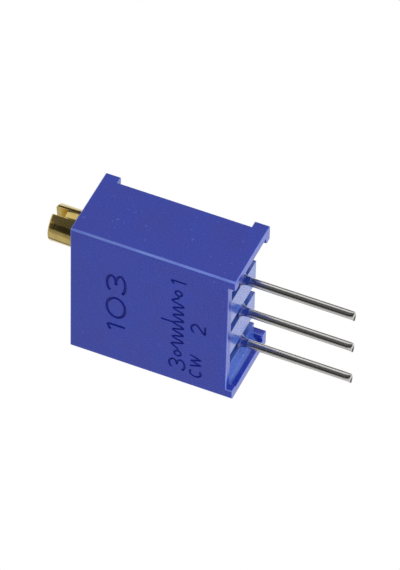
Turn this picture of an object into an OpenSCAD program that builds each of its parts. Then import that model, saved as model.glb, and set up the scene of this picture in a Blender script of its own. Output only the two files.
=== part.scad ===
// Square multi-turn trimmer potentiometer with a top adjusting screw and three in-line pins.
//
// Frame: +Z up through the screw head, X along the row of pins, the marked face towards -Y.
// The origin is on the middle pin's axis, in the plane of the case's feet, which seats on the board.
// Units are millimetres.

/* [Case] */
// Width of the case along the row of pins
case_w = 9.53; // [9.2:0.01:12]
// Height of the case from its feet to its top face
case_h = 10.03; // [8.2:0.01:14]
// Thickness of the case over its back lugs
case_t = 4.83; // [4.8:0.01:6]
// Thickness of the end walls
end_wall = 0.53; // [0.4:0.01:0.6]
// Thickness of the marked front wall
front_wall = 0.50; // [0.4:0.01:0.5]
// Thickness of the back wall
back_wall = 0.50; // [0.4:0.01:0.5]
// Thickness of the top wall, which holds the screw's seal
top_wall = 1.30; // [1.2:0.01:1.6]
// Rounding of the upright edges of the marked face
edge_r = 0.12; // [0.05:0.01:0.3]
// Width of each front foot beside the rim's relief
foot_w = 0.66; // [0.6:0.01:1.2]
// Height of the relief cut in the front rim between the feet
foot_relief = 0.40; // [0.2:0.01:0.5]

/* [Back lugs] */
// Height of the corner lugs above the back face
lug_h = 0.46; // [0.3:0.01:0.5]
// Width of each lug, along the row of pins
lug_w = 1.00; // [0.7:0.01:1.5]
// Length of each lug, along the height
lug_l = 0.93; // [0.6:0.01:1.2]

/* [Pin base] */
// Depth of the base's underside inside the rim
base_recess = 0.58; // [0.5:0.01:0.8]
// Thickness of the base
base_t = 0.85; // [0.75:0.01:1.2]
// Width of the slots that cross the underside at the pins
slot_w = 0.74; // [0.7:0.01:0.9]
// Depth of those slots
slot_d = 0.35; // [0.2:0.01:0.4]
// Height of the rib that backs the foot of the element
rib_h = 0.50; // [0.2:0.01:0.8]
// Height of the boss round the screw's tail bearing
boss_h = 0.22; // [0.1:0.01:0.3]
// Wall of that boss round the bearing bore
boss_wall = 0.24; // [0.15:0.01:0.3]

/* [Sealing resin] */
// Height of the lower ends of the collars round the pins
collar_low = 0.12; // [0.08:0.01:0.3]
// Thickness at which the resin ends
resin_edge = 0.015; // [0.01:0.005:0.02]
// Radius of the beads along the end walls
bead_r = 0.25; // [0.15:0.01:0.4]

/* [Pins] */
// Diameter of the pin wire
pin_d = 0.51; // [0.4:0.01:0.55]
// Pitch of the pins
pin_pitch = 2.54; // [2.5:0.01:2.6]
// Length of the pins beyond the feet
pin_l = 6.20; // [2:0.1:14]
// Width of the flat coined on each pin to key it in the base
coin_w = 0.60; // [0.55:0.01:0.62]
// Thickness of that coined flat
coin_t = 0.30; // [0.2:0.01:0.32]
// Chamfer on the cut ends of the pins
pin_chamfer = 0.04; // [0.02:0.01:0.1]

/* [Adjusting screw] */
// Diameter of the screw head
head_d = 2.19; // [1.8:0.01:2.3]
// Height of the head's end above the top face
head_h = 1.52; // [1.2:0.01:2.5]
// Chamfer round the head's end
head_chamfer = 0.08; // [0.04:0.01:0.2]
// Width of the driver slot
driver_w = 0.56; // [0.4:0.01:0.7]
// Depth of the driver slot
driver_d = 0.76; // [0.4:0.01:0.9]
// Turn of the driver slot from the X axis at mid-travel, in degrees
driver_turn = -6; // [-90:1:90]
// Distance of the screw's axis from the nearer end face
screw_inset_x = 1.27; // [1.25:0.01:1.4]
// Distance of the screw's axis from the marked face
screw_inset_y = 1.27; // [1.25:0.01:1.3]
// Diameter of the neck that runs in the top wall
neck_d = 1.20; // [1.1:0.01:1.3]
// Diameter of the thread
thread_d = 1.00; // [0.9:0.01:1.05]
// Diameter of the tail journal
tail_d = 0.66; // [0.5:0.01:0.8]
// Number of turns from one end of the element to the other
turns = 25; // [10:1:30]

/* [Seal and clip] */
// Thickness of the O-ring's section
ring_d = 0.26; // [0.2:0.01:0.28]
// Height of the O-ring's groove above the inside of the top wall
ring_rise = 0.50; // [0.3:0.01:0.6]
// Thickness of the retaining clip
clip_t = 0.16; // [0.1:0.01:0.18]
// Width of the clip across its legs
clip_w = 1.44; // [1.3:0.01:1.48]
// Length of the clip from its back to the ends of its legs
clip_l = 1.65; // [1.4:0.01:1.7]
// Diameter of the clip's groove in the neck
groove_d = 0.84; // [0.7:0.01:0.95]

/* [Element] */
// Thickness of the ceramic plate
plate_t = 0.635; // [0.5:0.005:0.7]
// Thickness of the printed films
film_t = 0.03; // [0.02:0.005:0.05]
// Width of the solder pads
pad_w = 0.90; // [0.8:0.01:1.2]
// Length of the solder pads
pad_l = 1.00; // [0.8:0.01:1.2]
// Width of the printed links between pads and tracks
link_w = 0.35; // [0.2:0.01:0.45]
// Width of the link that crosses the top of the plate
top_link_w = 0.24; // [0.2:0.01:0.4]
// Width of the resistive track
track_w = 0.90; // [0.75:0.01:1.0]
// Place of the resistive track along the row of pins
track_x = 1.25; // [1.2:0.01:1.3]
// Width of the collector track
collector_w = 0.80; // [0.75:0.01:0.9]
// Place of the collector track along the row of pins
collector_x = -0.85; // [-1.0:0.01:-0.85]
// Length of track left beyond the wiper at each end of its travel
run_out = 0.24; // [0.1:0.01:0.4]

/* [Carriage and wiper] */
// Length of the carriage below the wiper's contact line
carriage_below = 1.30; // [1.2:0.01:1.3]
// Length of the carriage above the contact line
carriage_above = 0.30; // [0.1:0.01:0.35]
// Length of the half nut on the screw
nut_l = 1.20; // [0.8:0.01:1.2]
// Reach of the half nut's jaws past the screw's axis
jaw_reach = 0.12; // [0:0.01:0.2]
// Thickness of the spring leaf
leaf_t = 0.08; // [0.05:0.01:0.1]
// Height of the leaf's staked strip
strip_h = 0.50; // [0.4:0.01:0.6]
// Fingers in each of the wiper's two groups
fingers = 3; // [2:1:4]
// Width of a finger
finger_w = 0.16; // [0.1:0.01:0.16]
// Pitch of the fingers
finger_pitch = 0.24; // [0.2:0.01:0.24]
// Diameter of the heat-staked posts
stake_d = 0.26; // [0.2:0.01:0.3]

/* [Clearances] */
// Gap round the base inside the case
base_gap = 0.02; // [0.01:0.005:0.05]
// Radial clearance of the neck in its bore and of the tail in its bearing
bearing_gap = 0.03; // [0.015:0.005:0.05]
// Radial clearance of the half nut on the thread
nut_gap = 0.04; // [0.02:0.005:0.05]
// Gap between the carriage and the walls it slides along
slide_gap = 0.065; // [0.04:0.005:0.08]
// Gap under the screw head
head_gap = 0.03; // [0.02:0.005:0.05]
// Gap between the element's plate and what locates it
plate_gap = 0.01; // [0.005:0.005:0.03]
// Gap between the wiper's fingers and the tracks
wiper_gap = 0.01; // [0.005:0.005:0.02]
// Slack of the O-ring and of the clip in their seats
seal_gap = 0.01; // [0.005:0.005:0.02]

/* [Hidden] */
$fn = 64;
cut = 0.5;            // how far a cutter runs past the face it opens

// case
x_end = case_w / 2;
y_front = -case_t / 2;
y_lug = case_t / 2;
y_back = y_lug - lug_h;
x_in = x_end - end_wall;
y_in_front = y_front + front_wall;
y_in_back = y_back - back_wall;
z_in_top = case_h - top_wall;

// base
z_slot = base_recess + slot_d;
z_base = base_recess + base_t;

// element, measured towards the wiper: plate face, then film face
y_film = pin_d / 2 + plate_gap / 2;
y_plate = y_film + film_t;
y_plate_back = y_plate + plate_t;
plate_side = 0.185;   // plate's edge to the end wall
x_plate = x_in - plate_side;
z_plate = z_base + 2 * plate_gap;
z_plate_top = z_in_top - 3 * plate_gap;
film_edge = 0.08;     // bare ceramic round the films
z_pad = z_plate + film_edge + 2 * plate_gap;
z_pad_top = z_pad + pad_l;
z_track = z_pad_top + link_w;
z_track_top = z_plate_top - film_edge - top_link_w;
z_collector_top = z_track_top - film_edge;

// pins
coin_from = base_recess + 0.12;
coin_to = z_base - 0.03;
z_pin_top = z_pad_top - 0.15;
pin_hole_d = norm([coin_w, coin_t]) + base_gap;
pin_x = [pin_pitch, 0, -pin_pitch];

// screw and wiper travel
screw_x = x_end - screw_inset_x;
screw_y = y_front + screw_inset_y;
bore_d = neck_d + 2 * bearing_gap;
ring_seat_d = bore_d - 2 * ring_d - 2 * seal_gap;
z_ring = z_in_top + ring_rise;
z_clip = z_in_top - 2 * seal_gap - clip_t;
z_collar = z_clip - 0.15;
z_boss = z_base + boss_h;
z_tail = z_base - 0.40;
z_bearing = z_tail - 0.05;
travel = z_track_top - z_track - 2 * run_out;
pitch = travel / turns;
thread_depth = 0.61 * pitch;
relief_d = max(thread_d - 2 * thread_depth - 0.02, tail_d);
z_contact = z_track + run_out + travel / 2;

// carriage
y_car_front = y_in_front + slide_gap;
y_car_back = -pin_d / 2 - 0.195;
z_car = z_contact - carriage_below;
x_car = collector_x - collector_w / 2 - 0.20;
y_leaf = y_car_back + leaf_t;
y_touch = y_film - wiper_gap;
z_strip = z_car + 0.05;
z_strip_top = z_strip + strip_h;

blue = [0.25, 0.29, 0.64];
brass = [0.78, 0.68, 0.35];
tin = [0.80, 0.80, 0.80];
silver = [0.72, 0.70, 0.66];

// ---- shared shapes ----

// A box between two opposite corners.
module span(low, high) {
    translate(low) cube(high - low);
}

// A round bar along Z between two heights.
module bar(d, z0, z1) {
    translate([0, 0, z0]) cylinder(d = d, h = z1 - z0);
}

// Puts its children on the screw's axis.
module on_screw() {
    translate([screw_x, screw_y, 0]) children();
}

// A film printed on the plate, between two corners of its outline seen from the front.
module film(low, high) {
    span([low[0], y_film, low[1]], [high[0], y_plate, high[1]]);
}

// The three slots that cross the base's underside at the pins and open through its back edge.
module pin_slots() {
    for (x = pin_x)
        span([x - slot_w / 2, y_in_front - cut, base_recess - cut],
             [x + slot_w / 2, y_back + cut, z_slot]);
}

// ---- case ----

// Plan of the case: square at the back, rounded at the upright edges of the marked face.
module case_plan() {
    translate([-x_end, y_front + edge_r]) square([case_w, y_back - y_front - edge_r]);
    translate([-x_end + edge_r, y_front]) square([case_w - 2 * edge_r, edge_r]);
    for (side = [-1, 1])
        translate([side * (x_end - edge_r), y_front + edge_r]) circle(edge_r);
}

// Four lugs, one at each corner of the back face, rooted in the end walls.
module back_lugs() {
    for (side = [0, 1], z = [0, case_h - lug_l])
        mirror([side, 0, 0]) {
            span([x_end - lug_w, y_back, z], [x_end, y_lug, z + lug_l]);
            span([x_in, y_back - end_wall, z], [x_end, y_back, z + lug_l]);
        }
}

// Upright rails behind the ceramic plate, and ledges that hold its edges from the front.
module plate_guides() {
    rail_w = 0.60;
    rail_x = x_plate - 0.85;
    ledge_over = 0.15;
    ledge_t = 0.35;
    for (side = [-1, 1]) {
        translate([side * rail_x - rail_w / 2, y_plate_back + plate_gap, z_base + rib_h + 0.1])
            cube([rail_w, y_in_back - y_plate_back - plate_gap + 0.1, z_in_top - z_base - rib_h]);
        translate([side > 0 ? x_plate - ledge_over : -x_in - 0.1,
                   y_plate - plate_gap - ledge_t, z_base + rib_h + 0.1])
            cube([x_in - x_plate + ledge_over + 0.1, ledge_t, z_in_top - z_base - rib_h]);
    }
}

module housing() {
    color(blue)
    difference() {
        union() {
            difference() {
                linear_extrude(case_h) case_plan();
                // the cavity, and the open side that the base closes from the front wall to the back face
                span([-x_in, y_in_front, -cut], [x_in, y_in_back, z_in_top]);
                span([-x_in, y_in_front, -cut], [x_in, y_back + cut, z_base]);
            }
            back_lugs();
            plate_guides();
        }
        // relief of the front rim between the feet
        span([-x_end + foot_w, y_front - cut, -cut], [x_end - foot_w, y_in_front + cut, foot_relief]);
        // bore that the screw's neck and its seal run in
        on_screw() bar(bore_d, z_in_top - cut, case_h + cut);
    }
}

// ---- base and sealant ----

module pin_base() {
    rib_end = x_plate - 1.25;
    color(blue * 1.05)
    difference() {
        union() {
            span([-x_in + base_gap, y_in_front + base_gap, base_recess],
                 [x_in - base_gap, y_back, z_base]);
            // rib behind the foot of the ceramic plate
            span([-rib_end, y_plate_back + plate_gap, z_base - 0.1],
                 [rib_end, y_in_back - base_gap, z_base + rib_h]);
            on_screw() bar(tail_d + 2 * bearing_gap + 2 * boss_wall, z_base - 0.1, z_boss);
        }
        pin_slots();
        for (x = pin_x)
            translate([x, 0, 0]) bar(pin_hole_d, base_recess, z_base + cut);
        on_screw() bar(tail_d + 2 * bearing_gap, z_bearing, z_boss + cut);
    }
}

// Section of the collar round a pin: full width over the coined flat, then a concave curve down the wire.
module collar_section() {
    steps = 8;
    full = coin_from - 0.02;
    r_top = slot_w / 2 - 0.01;
    r_full = r_top - resin_edge;
    r_low = pin_d / 2 + resin_edge;
    curve = [for (i = [0:steps])
        let (s = i / steps)
        [r_low + (r_full - r_low) * pow(s, 2.4), collar_low + (full - collar_low) * s]];
    polygon(concat([[pin_d / 2, z_slot], [pin_d / 2, collar_low]], curve, [[r_top, z_slot]]));
}

// A concave bead in the corner of the base's underside and an end wall, seen along Y.
module bead_section() {
    difference() {
        square(bead_r);
        translate([bead_r, 0]) circle(bead_r);
    }
}

module sealant() {
    color(blue * 0.9) {
        for (x = pin_x)
            translate([x, 0, 0]) difference() {
                rotate_extrude() collar_section();
                span([-coin_w / 2, -coin_t / 2, coin_from], [coin_w / 2, coin_t / 2, z_slot + cut]);
            }
        for (side = [-1, 1])
            translate([side * x_in, y_back - base_gap, base_recess])
                rotate([90, 0, 0])
                    linear_extrude(y_back - y_in_front - 2 * base_gap)
                        mirror([side > 0 ? 1 : 0, 0])
                            translate([0, -bead_r]) bead_section();
    }
}

// ---- pins ----

// A straight wire pin, coined flat where the base holds it.
module pin(x) {
    c = pin_chamfer;
    r = pin_d / 2;
    color(tin)
    translate([x, 0, 0]) {
        rotate_extrude()
            polygon([[0, -pin_l], [r - c, -pin_l], [r, -pin_l + c], [r, coin_from], [0, coin_from]]);
        span([-coin_w / 2, -coin_t / 2, coin_from], [coin_w / 2, coin_t / 2, coin_to]);
        rotate_extrude()
            polygon([[0, coin_to], [r, coin_to], [r, z_pin_top - c], [r - c, z_pin_top], [0, z_pin_top]]);
    }
}

// ---- screw, seal and clip ----

// Half section of the turned screw, from the tail journal up to the head.
module screw_section() {
    c = head_chamfer;
    z_thread = z_boss + 0.10;
    difference() {
        polygon([
            [0, z_tail],
            [tail_d / 2 - c, z_tail], [tail_d / 2, z_tail + c], [tail_d / 2, z_thread],
            [thread_d / 2 - c, z_thread], [thread_d / 2, z_thread + c], [thread_d / 2, z_collar],
            [neck_d / 2, z_collar], [neck_d / 2, case_h + head_gap],
            [head_d / 2 - c / 2, case_h + head_gap], [head_d / 2, case_h + head_gap + c / 2],
            [head_d / 2, case_h + head_h - c], [head_d / 2 - c, case_h + head_h],
            [0, case_h + head_h]
        ]);
        // relief that the thread runs out into below the collar, then the seats of the clip and the ring
        turned_groove(relief_d, z_collar - 1.5 * pitch, z_collar);
        turned_groove(groove_d, z_clip - seal_gap, z_clip + clip_t + seal_gap);
        turned_groove(ring_seat_d, z_ring - ring_d / 2 - seal_gap, z_ring + ring_d / 2 + seal_gap);
    }
}

// A groove turned down to a diameter, between two heights.
module turned_groove(d, z0, z1) {
    translate([d / 2, z0]) square([neck_d, z1 - z0]);
}

module lead_screw() {
    color(brass)
    on_screw() difference() {
        rotate_extrude() screw_section();
        rotate(driver_turn)
            span([-head_d, -driver_w / 2, case_h + head_h - driver_d],
                 [head_d, driver_w / 2, case_h + head_h + cut]);
    }
}

module o_ring() {
    color([0.10, 0.10, 0.11])
    on_screw() translate([0, 0, z_ring])
        rotate_extrude() translate([(bore_d - ring_d) / 2 - seal_gap / 2, 0]) circle(d = ring_d);
}

// A horseshoe plate that straddles the neck's groove and bears on the inside of the top wall.
module retaining_clip() {
    mouth = groove_d + 2 * bearing_gap;
    legs = screw_inset_x - end_wall - slide_gap;
    color([0.62, 0.62, 0.60])
    on_screw() translate([0, 0, z_clip]) linear_extrude(clip_t) difference() {
        translate([legs - clip_l, -clip_w / 2]) square([clip_l, clip_w]);
        circle(d = mouth);
        translate([0, -mouth / 2]) square([clip_l, mouth]);
    }
}

// ---- carriage and wiper ----

// Puts its children at each stake, with Z pointing out of the carriage's back face.
module at_stakes() {
    for (x = [track_x, collector_x])
        translate([x, y_car_back, z_strip + strip_h / 2]) rotate([-90, 0, 0]) children();
}

module carriage() {
    z_top = z_contact + carriage_above;
    z_nut = z_contact - 0.10;
    color([0.90, 0.90, 0.86])
    difference() {
        union() {
            // body, cut back above the strip so that the fingers can flex
            span([x_car, y_car_front, z_car], [screw_x - thread_d - 0.1, y_car_back, z_strip_top + 0.05]);
            span([x_car, y_car_front, z_car], [screw_x - thread_d - 0.1, y_car_back - 0.45, z_top]);
            // half nut with its two jaws
            span([screw_x - thread_d - 0.11, y_car_front, z_nut - nut_l],
                 [screw_x + jaw_reach, y_car_back, z_nut]);
            // posts that stake the spring leaf, and their melted heads
            at_stakes() {
                bar(stake_d, -0.1, leaf_t + 0.02);
                bar(stake_d + 0.14, leaf_t, leaf_t + 0.05);
            }
        }
        on_screw() bar(thread_d + 2 * nut_gap, z_car - cut, z_top + cut);
    }
}

// Middle line of a finger from the strip to the contact line and on to its lifted toe, as [y, z].
function finger_line(s) =
    let (rise = y_touch - y_leaf,
         y = s <= 1 ? rise * (3 * s * s - 2 * s * s * s) : rise - 0.9 * pow(s - 1, 2))
    [y_leaf - leaf_t / 2 + y, z_strip_top + s * (z_contact - z_strip_top)];

// One spring finger, as a band of even thickness about its middle line, drawn in the Y-Z plane.
module finger_section() {
    steps = 14;
    reach = 1.3;
    line = [for (i = [0:steps]) finger_line(i * reach / steps)];
    normals = [for (i = [0:steps])
        let (a = line[max(i - 1, 0)], b = line[min(i + 1, steps)], d = (b - a) / norm(b - a))
        [d[1], -d[0]]];
    polygon(concat(
        [for (i = [0:steps]) line[i] + normals[i] * leaf_t / 2],
        [for (i = [steps:-1:0]) line[i] - normals[i] * leaf_t / 2]));
}

module wiper_contact() {
    color([0.80, 0.62, 0.38])
    difference() {
        union() {
            span([x_car + 0.15, y_car_back, z_strip], [track_x + track_w / 2, y_leaf, z_strip_top]);
            for (x = [track_x, collector_x], i = [0:fingers - 1])
                translate([x + (i - (fingers - 1) / 2) * finger_pitch - finger_w / 2, 0, 0])
                    rotate([90, 0, 90]) linear_extrude(finger_w) finger_section();
        }
        at_stakes() bar(stake_d, -cut, cut);
    }
}

// ---- element ----

module element_substrate() {
    color([0.93, 0.92, 0.88])
    span([-x_plate, y_plate, z_plate], [x_plate, y_plate_back, z_plate_top]);
}

module resistive_track() {
    color([0.13, 0.13, 0.14])
    film([track_x - track_w / 2, z_track], [track_x + track_w / 2, z_track_top]);
}

module collector_track() {
    color(silver)
    film([collector_x - collector_w / 2, z_track], [collector_x + collector_w / 2, z_collector_top]);
}

// Pad under one pin.
module pad(x) {
    film([x - pad_w / 2, z_pad], [x + pad_w / 2, z_pad_top]);
}

// Pad of pin 1 and its link to the foot of the resistive track.
module termination_1() {
    color(silver) {
        pad(pin_x[0]);
        film([track_x - track_w / 2, z_pad_top], [pin_x[0] + pad_w / 2, z_track]);
    }
}

// Pad of pin 2 and its link to the foot of the collector track.
module termination_2() {
    color(silver) {
        pad(pin_x[1]);
        film([collector_x - collector_w / 2, z_pad_top], [pin_x[1] + pad_w / 2, z_track]);
    }
}

// Pad of pin 3, its riser along the plate's edge and its link across the top to the resistive track.
module termination_3() {
    riser = -x_plate + link_w + 0.10;
    color(silver) {
        pad(pin_x[2]);
        film([riser, z_pad], [riser + link_w, z_track_top + top_link_w]);
        film([riser, z_pad], [pin_x[2], z_pad + link_w]);
        film([riser, z_track_top], [track_x + track_w / 2, z_track_top + top_link_w]);
    }
}

// Solder round a pin on its pad: a coat over the wire with concave skirts down to the pad.
module solder(x) {
    coat = 0.055;
    r = pin_d / 2 + coat;
    skirt = 0.15;
    color([0.70, 0.71, 0.73])
    translate([x, 0, 0]) difference() {
        translate([0, 0, z_pad + 0.06]) linear_extrude(z_pin_top - z_pad) difference() {
            union() {
                circle(r);
                translate([-r - 0.06, y_film - skirt]) square([2 * r + 0.12, skirt]);
            }
            for (side = [-1, 1])
                translate([side * (r + 0.06), y_film - skirt]) circle(0.12, $fn = 32);
            translate([-r, y_film]) square([2 * r, r]);
        }
        bar(pin_d, 0, z_pin_top);
    }
}

housing();
pin_base();
sealant();
lead_screw();
o_ring();
retaining_clip();
carriage();
wiper_contact();
element_substrate();
resistive_track();
collector_track();
termination_1();
termination_2();
termination_3();
pin(pin_x[0]);  // pin_1
pin(pin_x[1]);  // pin_2
pin(pin_x[2]);  // pin_3
solder(pin_x[0]);  // solder_1
solder(pin_x[1]);  // solder_2
solder(pin_x[2]);  // solder_3
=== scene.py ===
"""Looks of the trimmer potentiometer: its moulded case with sunk marks, potted base, tinned pins,
turned screw, inner mechanism, and the stage that it stands on."""
import math

import bmesh
import bpy
from bpy.props import (
    FloatProperty,
    FloatVectorProperty,
    PointerProperty,
    StringProperty,
)
from mathutils import Matrix, Vector


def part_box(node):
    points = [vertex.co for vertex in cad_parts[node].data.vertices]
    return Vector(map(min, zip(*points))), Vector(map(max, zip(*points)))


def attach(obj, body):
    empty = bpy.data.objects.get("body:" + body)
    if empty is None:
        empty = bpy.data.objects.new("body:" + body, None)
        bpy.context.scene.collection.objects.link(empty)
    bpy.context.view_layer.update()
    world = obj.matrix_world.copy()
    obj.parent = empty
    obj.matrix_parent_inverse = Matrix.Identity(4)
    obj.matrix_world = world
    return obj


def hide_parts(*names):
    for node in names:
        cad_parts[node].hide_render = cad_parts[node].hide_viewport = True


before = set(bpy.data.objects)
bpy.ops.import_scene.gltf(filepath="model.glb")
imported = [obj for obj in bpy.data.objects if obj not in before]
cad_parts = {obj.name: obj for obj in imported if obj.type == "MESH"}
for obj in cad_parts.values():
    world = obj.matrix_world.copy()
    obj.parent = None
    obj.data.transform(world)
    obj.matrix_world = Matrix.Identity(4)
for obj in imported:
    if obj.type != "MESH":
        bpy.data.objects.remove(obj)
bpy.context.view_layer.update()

bl_info = {
    "name": "Trimmer Potentiometer",
    "version": (1, 0, 0),
    "blender": (4, 5, 0),
    "location": "View3D > Sidebar > Trimmer",
    "description": "Finishes a square multi-turn trimmer potentiometer and sets its stage",
    "category": "Object",
}

MM = 0.001
CASE_LOW, CASE_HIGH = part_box("housing")
SCREW_LOW, SCREW_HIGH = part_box("lead_screw")
PIN_LOW, PIN_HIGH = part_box("pin_2")

# In millimetres: the pins' radius, pitch and places along X.
PIN_RADIUS = (PIN_HIGH.y - PIN_LOW.y) / 2 / MM
PIN_PITCH = 2.54
PIN_PLACES = {"pin_1": PIN_PITCH, "pin_2": 0.0, "pin_3": -PIN_PITCH}
# Points closer than this, in millimetres, are one.
WELD = 0.0005
# Height of the thread's ridge, as a share of its pitch.
RIDGE = 0.46
# Share of its thickness that a pin loses where it was cut.
PINCH = 0.30
# Roughness of the clear skin on glossy plastic and resin.
SKIN_ROUGHNESS = 0.12


# ---- sizes and colours that a user can change ----


def length(name, description, default, high=0.02):
    """A size in metres."""
    return FloatProperty(
        name=name, description=description, default=default, min=0.0, max=high,
        precision=6, unit="LENGTH", subtype="DISTANCE",
    )


def colour(name, description, default):
    """A linear colour."""
    return FloatVectorProperty(
        name=name, description=description, default=default, size=3, min=0.0, max=1.0,
        subtype="COLOR",
    )


class TrimmerCaseSettings(bpy.types.PropertyGroup):
    edge_radius: length("Edge radius", "Rounding of the case's outer edges", 0.00005)
    base_edge_radius: length("Base edge radius", "Rounding of the base's edges", 0.000025)
    mark_text: StringProperty(
        name="Value code", description="Plain number sunk in the marked face", default="103",
    )
    mark_height: length("Value height", "Height of the value code", 0.00112)
    mark_width: length("Value stroke", "Width of the value code's sunk strokes", 0.00019)
    sign_width: length("Sign stroke", "Width of the small signs' sunk strokes", 0.00014)
    mark_depth: length("Mark depth", "Depth of the sunk strokes", 0.00007)
    case_colour: colour("Case", "Moulded case", (0.010, 0.029, 0.290))
    case_shade: colour("Case shade", "Cloudy patches in the case", (0.015, 0.026, 0.264))
    # The two edge colours paint a highlight: a paler line on the rounded outer edges that stands in
    # for the light they catch.
    edge_highlight_colour: colour("Edges", "Paler, rubbed line along the case's edges", (0.125, 0.175, 0.480))
    edge_highlight_shade: colour("Edge shade", "Less rubbed stretches of the edges", (0.075, 0.115, 0.400))
    # The mark colour is painted shade: the sunk strokes are darkened for the shade that falls in
    # them.
    mark_shade_colour: colour("Marks", "Bottom of the sunk marks", (0.004, 0.009, 0.165))
    # The base colours hold painted light: they are raised above the base's own tone for the light
    # that its downward faces catch.
    base_colour_with_painted_light: colour("Base", "Moulded base", (0.052, 0.105, 0.380))
    base_shade_with_painted_light: colour("Base shade", "Cloudy patches in the base", (0.038, 0.078, 0.335))
    potting_colour: colour("Potting", "Sealing resin round the pins", (0.008, 0.020, 0.150))
    potting_shade: colour("Potting shade", "Cloudy patches in the resin", (0.012, 0.026, 0.180))


class TrimmerScrewSettings(bpy.types.PropertyGroup):
    edge_radius: length("Edge radius", "Broken edge of the head and its slot", 0.00002)
    slot_width: length("Slot width", "Width of the driver slot", 0.00056)
    slot_depth: length("Slot depth", "Depth of the driver slot", 0.00076)
    slot_turn: FloatProperty(
        name="Slot turn", description="Turn of the slot from the row of pins at mid-travel",
        default=math.radians(-6), subtype="ANGLE", unit="ROTATION",
    )
    thread_diameter: length("Thread diameter", "Over the crests", 0.00100)
    thread_pitch: length("Thread pitch", "Advance of one turn", 0.00020)
    brass: colour("Brass", "Turned screw", (0.640, 0.490, 0.170))
    tarnish: colour("Tarnish", "Darker patches on the brass", (0.360, 0.240, 0.070))


class TrimmerPinSettings(bpy.types.PropertyGroup):
    tin: colour("Tin", "Tinned copper wire", (0.700, 0.690, 0.665))
    dull_tin: colour("Dull tin", "Drawn streaks along the wire", (0.500, 0.490, 0.465))
    torn: colour("Torn copper", "Rough half of each cut end", (0.110, 0.085, 0.070))
    end_reach: length("Spread length", "Stretch of each pin that the cutter spread", 0.00042)
    end_lip: length("Lip", "Widening of a cut end on its clean side", 0.00004)
    end_burr: length("Burr", "Widening of a cut end on its torn side", 0.00014)
    solder: colour("Solder", "Joints at the pads", (0.560, 0.560, 0.570))


class TrimmerInsideSettings(bpy.types.PropertyGroup):
    carriage: colour("Carriage", "Moulded wiper carriage", (0.620, 0.590, 0.500))
    spring: colour("Wiper spring", "Palladium-plated spring leaf", (0.600, 0.560, 0.500))
    ceramic: colour("Ceramic", "Alumina plate", (0.780, 0.770, 0.730))
    film: colour("Resistive film", "Fired resistor track", (0.030, 0.034, 0.032))
    conductor: colour("Conductor", "Fired conductor pads and links", (0.560, 0.530, 0.460))
    rubber: colour("O-ring", "Rubber seal", (0.018, 0.018, 0.020))
    steel: colour("Clip", "Spring steel clip", (0.480, 0.480, 0.470))


class TrimmerStageSettings(bpy.types.PropertyGroup):
    floor_colour: colour("Floor", "Pale floor under the pins", (0.860, 0.860, 0.860))
    floor_size: length("Floor size", "Side of the floor", 0.60, high=2.0)
    fill: FloatProperty(
        name="Fill", description="Level of the plain light from all round", default=0.36,
        min=0.0, max=2.0,
    )
    key: FloatProperty(
        name="Key", description="Level of the broad lamps", default=1.0, min=0.0, max=10.0,
    )
    camera_distance: length("Camera distance", "From the case to the camera", 0.321, high=2.0)
    frame_width: length("Frame width", "Width that the camera takes in", 0.02247191, high=2.0)


SETTINGS = {
    "trimmer_case": TrimmerCaseSettings,
    "trimmer_screw": TrimmerScrewSettings,
    "trimmer_pins": TrimmerPinSettings,
    "trimmer_inside": TrimmerInsideSettings,
    "trimmer_stage": TrimmerStageSettings,
}


# ---- node trees ----


def add(tree, kind, inputs=None, **settings):
    """Adds a node, makes its settings, and sets its inputs to values or joins them to outputs."""
    node = tree.nodes.new(kind)
    for name, value in settings.items():
        setattr(node, name, value)
    for key, value in (inputs or {}).items():
        if isinstance(value, bpy.types.NodeSocket):
            tree.links.new(value, node.inputs[key])
        else:
            node.inputs[key].default_value = value
    return node


def math_node(tree, operation, *values):
    """The output of a Math node on these values."""
    return add(tree, "ShaderNodeMath", dict(enumerate(values)), operation=operation).outputs[0]


def between(tree, factor, first, second):
    """The output of a mix of two colours. A colour mix has its colours in sockets 6, 7 and 2."""
    inputs = {0: factor, 6: first, 7: second}
    return add(tree, "ShaderNodeMix", inputs, data_type="RGBA").outputs[2]


def stepped(tree, value, low, high, start=0.0, end=1.0):
    """A value taken from one range to another, and held at its ends."""
    return add(
        tree, "ShaderNodeMapRange",
        {"Value": value, "From Min": low, "From Max": high, "To Min": start, "To Max": end},
    ).outputs["Result"]


def noise(tree, coordinates, scale, detail=2.0, roughness=0.5):
    """A noise that changes about once in every 1/scale of the coordinates' unit."""
    return add(
        tree, "ShaderNodeTexNoise",
        {"Vector": coordinates, "Scale": scale, "Detail": detail, "Roughness": roughness},
    ).outputs["Fac"]


def stretched(tree, coordinates, scale):
    """Coordinates multiplied along each axis."""
    return add(tree, "ShaderNodeMapping", {"Vector": coordinates, "Scale": scale}).outputs[0]


def varied(tree, base, value, amount):
    """A base value that a noise raises or lowers by half of an amount at most."""
    swing = math_node(tree, "MULTIPLY_ADD", value, amount, -amount / 2)
    return math_node(tree, "ADD", swing, base)


def in_millimetres(tree):
    """Object coordinates, in millimetres."""
    place = add(tree, "ShaderNodeTexCoord").outputs["Object"]
    return stretched(tree, place, (1 / MM, 1 / MM, 1 / MM))


def new_group(name, kind, inputs, outputs):
    """A node group of this kind with these sockets, and its input and output nodes."""
    group = bpy.data.node_groups.new(name, kind)
    for label, socket_type, default in inputs:
        socket = group.interface.new_socket(label, in_out="INPUT", socket_type=socket_type)
        if default is not None:
            socket.default_value = default
    for label, socket_type in outputs:
        group.interface.new_socket(label, in_out="OUTPUT", socket_type=socket_type)
    return group, add(group, "NodeGroupInput"), add(group, "NodeGroupOutput")


def new_nodes(owner):
    """The emptied node tree of a material or a world."""
    owner.use_nodes = True
    owner.node_tree.nodes.clear()
    return owner.node_tree


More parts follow.
